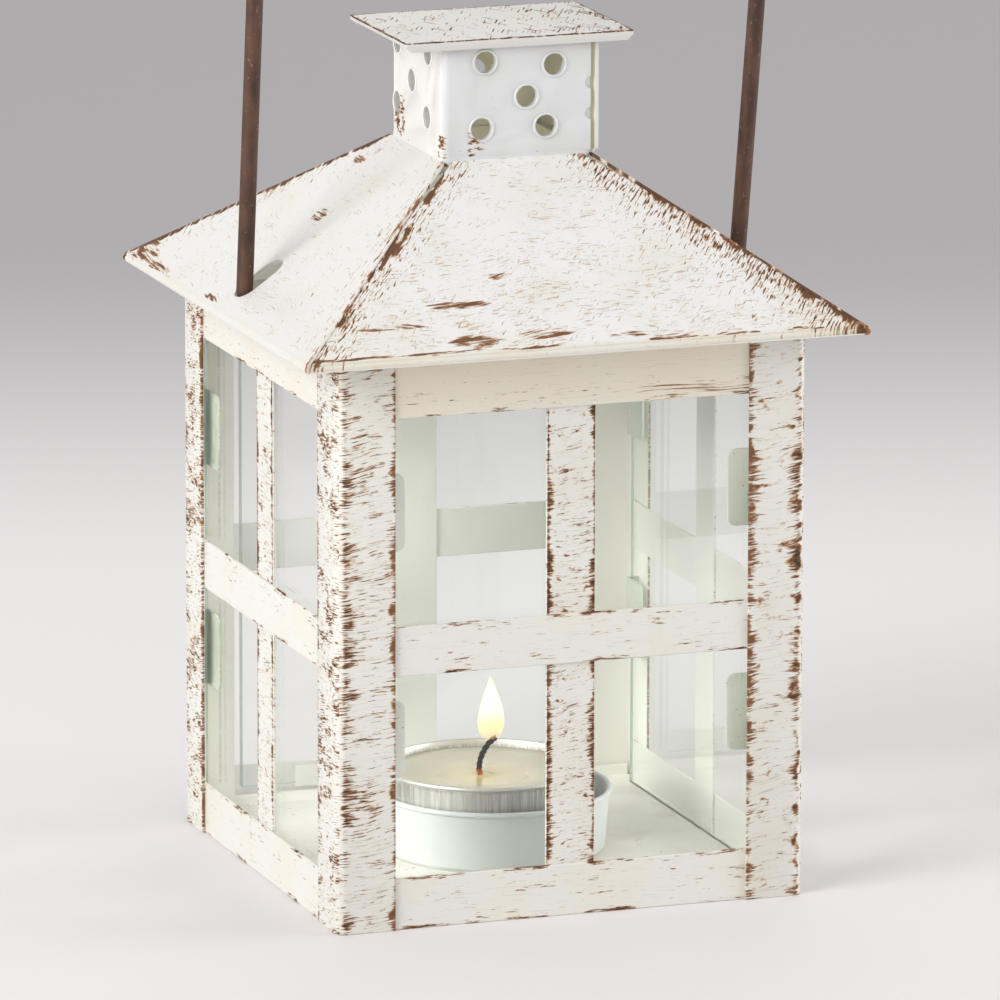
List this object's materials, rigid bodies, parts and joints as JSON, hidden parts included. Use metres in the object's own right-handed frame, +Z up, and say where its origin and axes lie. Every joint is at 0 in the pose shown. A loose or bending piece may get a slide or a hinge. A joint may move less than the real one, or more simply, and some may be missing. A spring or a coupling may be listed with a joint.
{
  "type": "candle lantern",
  "caption": "Square sheet-metal tealight lantern with glazed walls, a rear door, a hipped roof, a pierced and capped chimney and a swinging wire bail.",
  "frame": {"origin": "middle of the square base, at table level", "axes": "+Z up, -Y is the front, +X to the right seen from the front; the door is on the back, +Y"},
  "size_m": [0.1048, 0.106, 0.2133],
  "materials": {
    "distressed_paint": "white paint, satin, rubbed through to a brown undercoat along edges and in fine dashes",
    "bail_wire": "matt reddish brown paint",
    "hinge_steel": "dull brown",
    "cup_enamel": "satin white paint",
    "window_glass": "clear, faint green tint, darker green edges",
    "tealight_foil": "satin, thin pressed foil",
    "candle_wax": "cream wax, slightly translucent",
    "cotton_wick": "charred cotton"
  },
  "bodies": {
    "lantern": {"front_left_post": "distressed_paint", "front_right_post": "distressed_paint", "back_left_post": "distressed_paint", "back_right_post": "distressed_paint", "front_top_rail": "distressed_paint", "front_middle_bar": "distressed_paint", "front_bottom_rail": "distressed_paint", "front_muntin": "distressed_paint", "front_glass": "window_glass", "front_glass_tabs": "distressed_paint", "right_top_rail": "distressed_paint", "right_middle_bar": "distressed_paint", "right_bottom_rail": "distressed_paint", "right_muntin": "distressed_paint", "right_glass": "window_glass", "right_glass_tabs": "distressed_paint", "left_top_rail": "distressed_paint", "left_middle_bar": "distressed_paint", "left_bottom_rail": "distressed_paint", "left_muntin": "distressed_paint", "left_glass": "window_glass", "left_glass_tabs": "distressed_paint", "back_header": "distressed_paint", "back_sill": "distressed_paint", "fixed_hinge_leaves": "distressed_paint", "hinge_pins": "hinge_steel", "floor_tray": "distressed_paint", "candle_cup": "cup_enamel", "roof_front": "distressed_paint", "roof_right": "distressed_paint", "roof_back": "distressed_paint", "roof_left": "distressed_paint", "chimney": "distressed_paint", "chimney_lap": "distressed_paint", "chimney_cap": "distressed_paint"},
    "door": {"door_left_stile": "distressed_paint", "door_right_stile": "distressed_paint", "door_top_rail": "distressed_paint", "door_middle_bar": "distressed_paint", "door_bottom_rail": "distressed_paint", "door_muntin": "distressed_paint", "door_glass": "window_glass", "door_glass_tabs": "distressed_paint", "door_pull": "distressed_paint", "door_hinge_leaves": "distressed_paint"},
    "bail": {"wire_bail": "bail_wire"},
    "tealight": {"tealight_cup": "tealight_foil", "wax": "candle_wax", "wick": "cotton_wick", "wick_sustainer": "tealight_foil"}
  },
  "joints": [
    {"name": "bail_swing", "type": "hinge", "parent": "lantern", "child": "bail", "pos_m": [-0.0004, -0.0022, 0.1085], "axis": [1, 0, 0], "range_deg": [-52, 38]},
    {"name": "door_hinge", "type": "hinge", "parent": "lantern", "child": "door", "pos_m": [0.0454, 0.0458, 0.05], "axis": [0, 0, -1], "range_deg": [0, 110]},
    {"name": "tealight_lift", "type": "slide", "parent": "lantern", "child": "tealight", "axis": [0, 0, 1], "range_m": [0, 0.02]}
  ]
}
